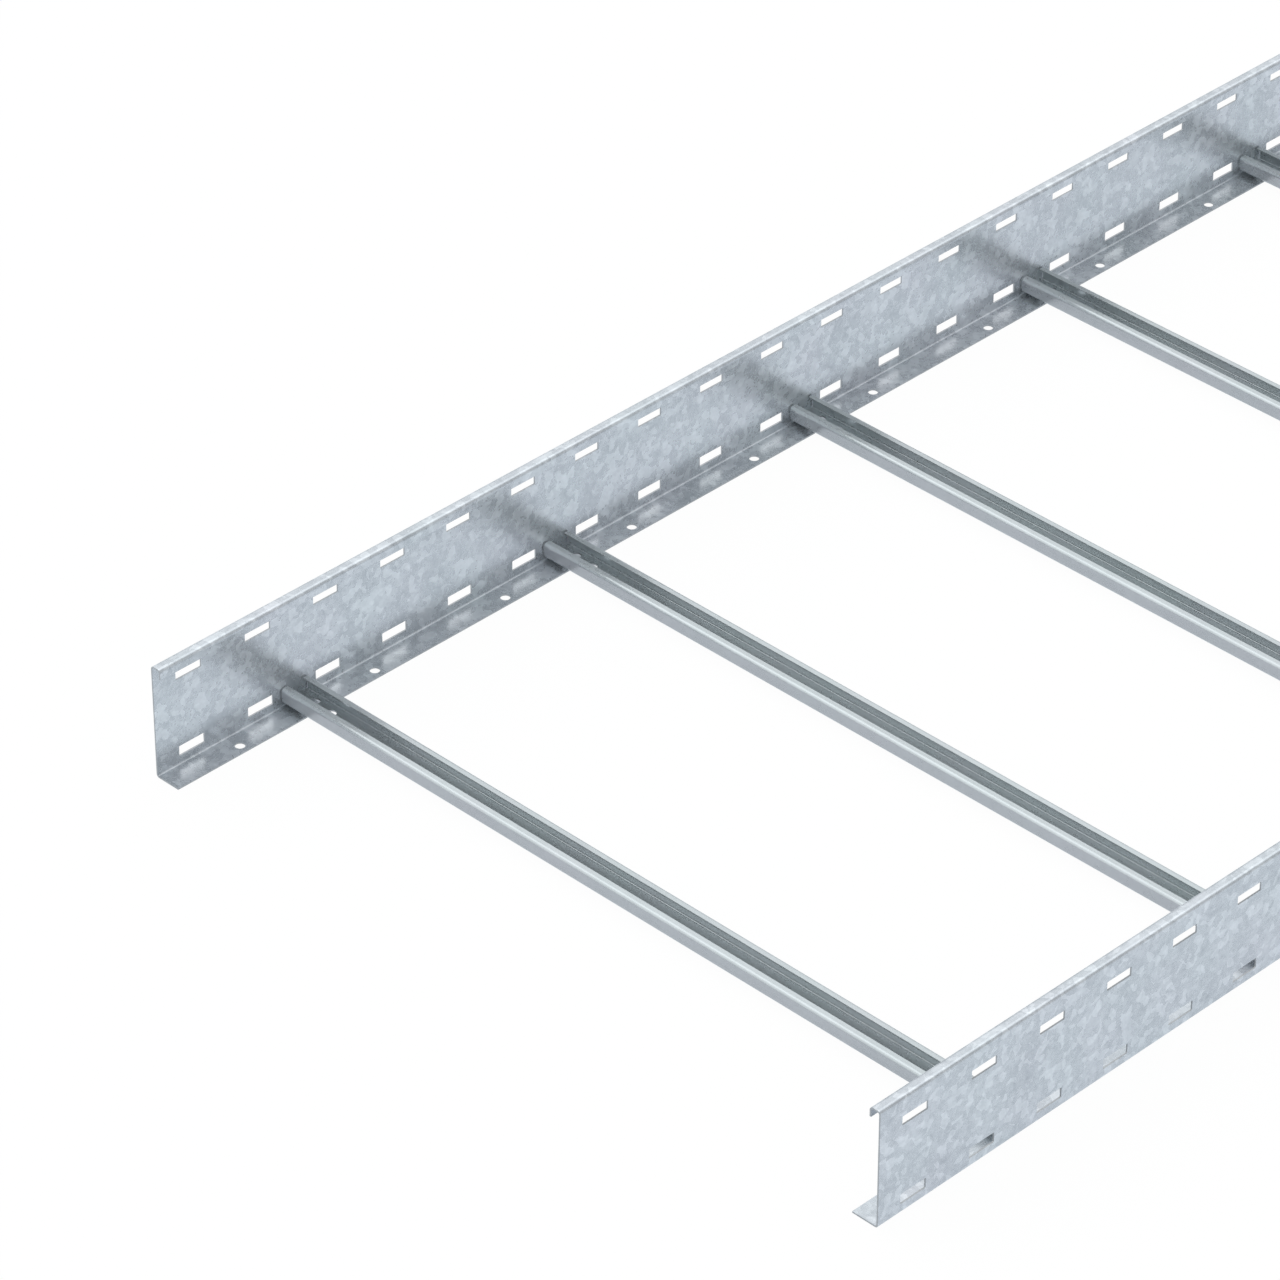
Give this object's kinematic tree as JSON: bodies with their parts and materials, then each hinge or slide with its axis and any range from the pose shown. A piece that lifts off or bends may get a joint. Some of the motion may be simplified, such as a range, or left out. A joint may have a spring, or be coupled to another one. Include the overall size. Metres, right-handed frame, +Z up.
{
  "type": "cable ladder section",
  "caption": "Straight cable ladder section with folded sheet side rails, slotted webs, rolled top edges and open C-profile rungs.",
  "frame": {"origin": "centre of the section's footprint, on the underside of the bottom flanges", "axes": "+X across the ladder along the rungs, +Y along the side rails, +Z up towards the rolled top edges"},
  "size_m": [0.8, 3, 0.11],
  "materials": {
    "galvanised_rail_sheet": "satin",
    "galvanised_rung_sheet": "satin"
  },
  "bodies": {
    "root": {"side_rail_left": "galvanised_rail_sheet", "side_rail_right": "galvanised_rail_sheet", "rung_01": "galvanised_rung_sheet", "rung_02": "galvanised_rung_sheet", "rung_03": "galvanised_rung_sheet", "rung_04": "galvanised_rung_sheet", "rung_05": "galvanised_rung_sheet", "rung_06": "galvanised_rung_sheet", "rung_07": "galvanised_rung_sheet", "rung_08": "galvanised_rung_sheet", "rung_09": "galvanised_rung_sheet", "rung_10": "galvanised_rung_sheet"}
  },
  "joints": []
}
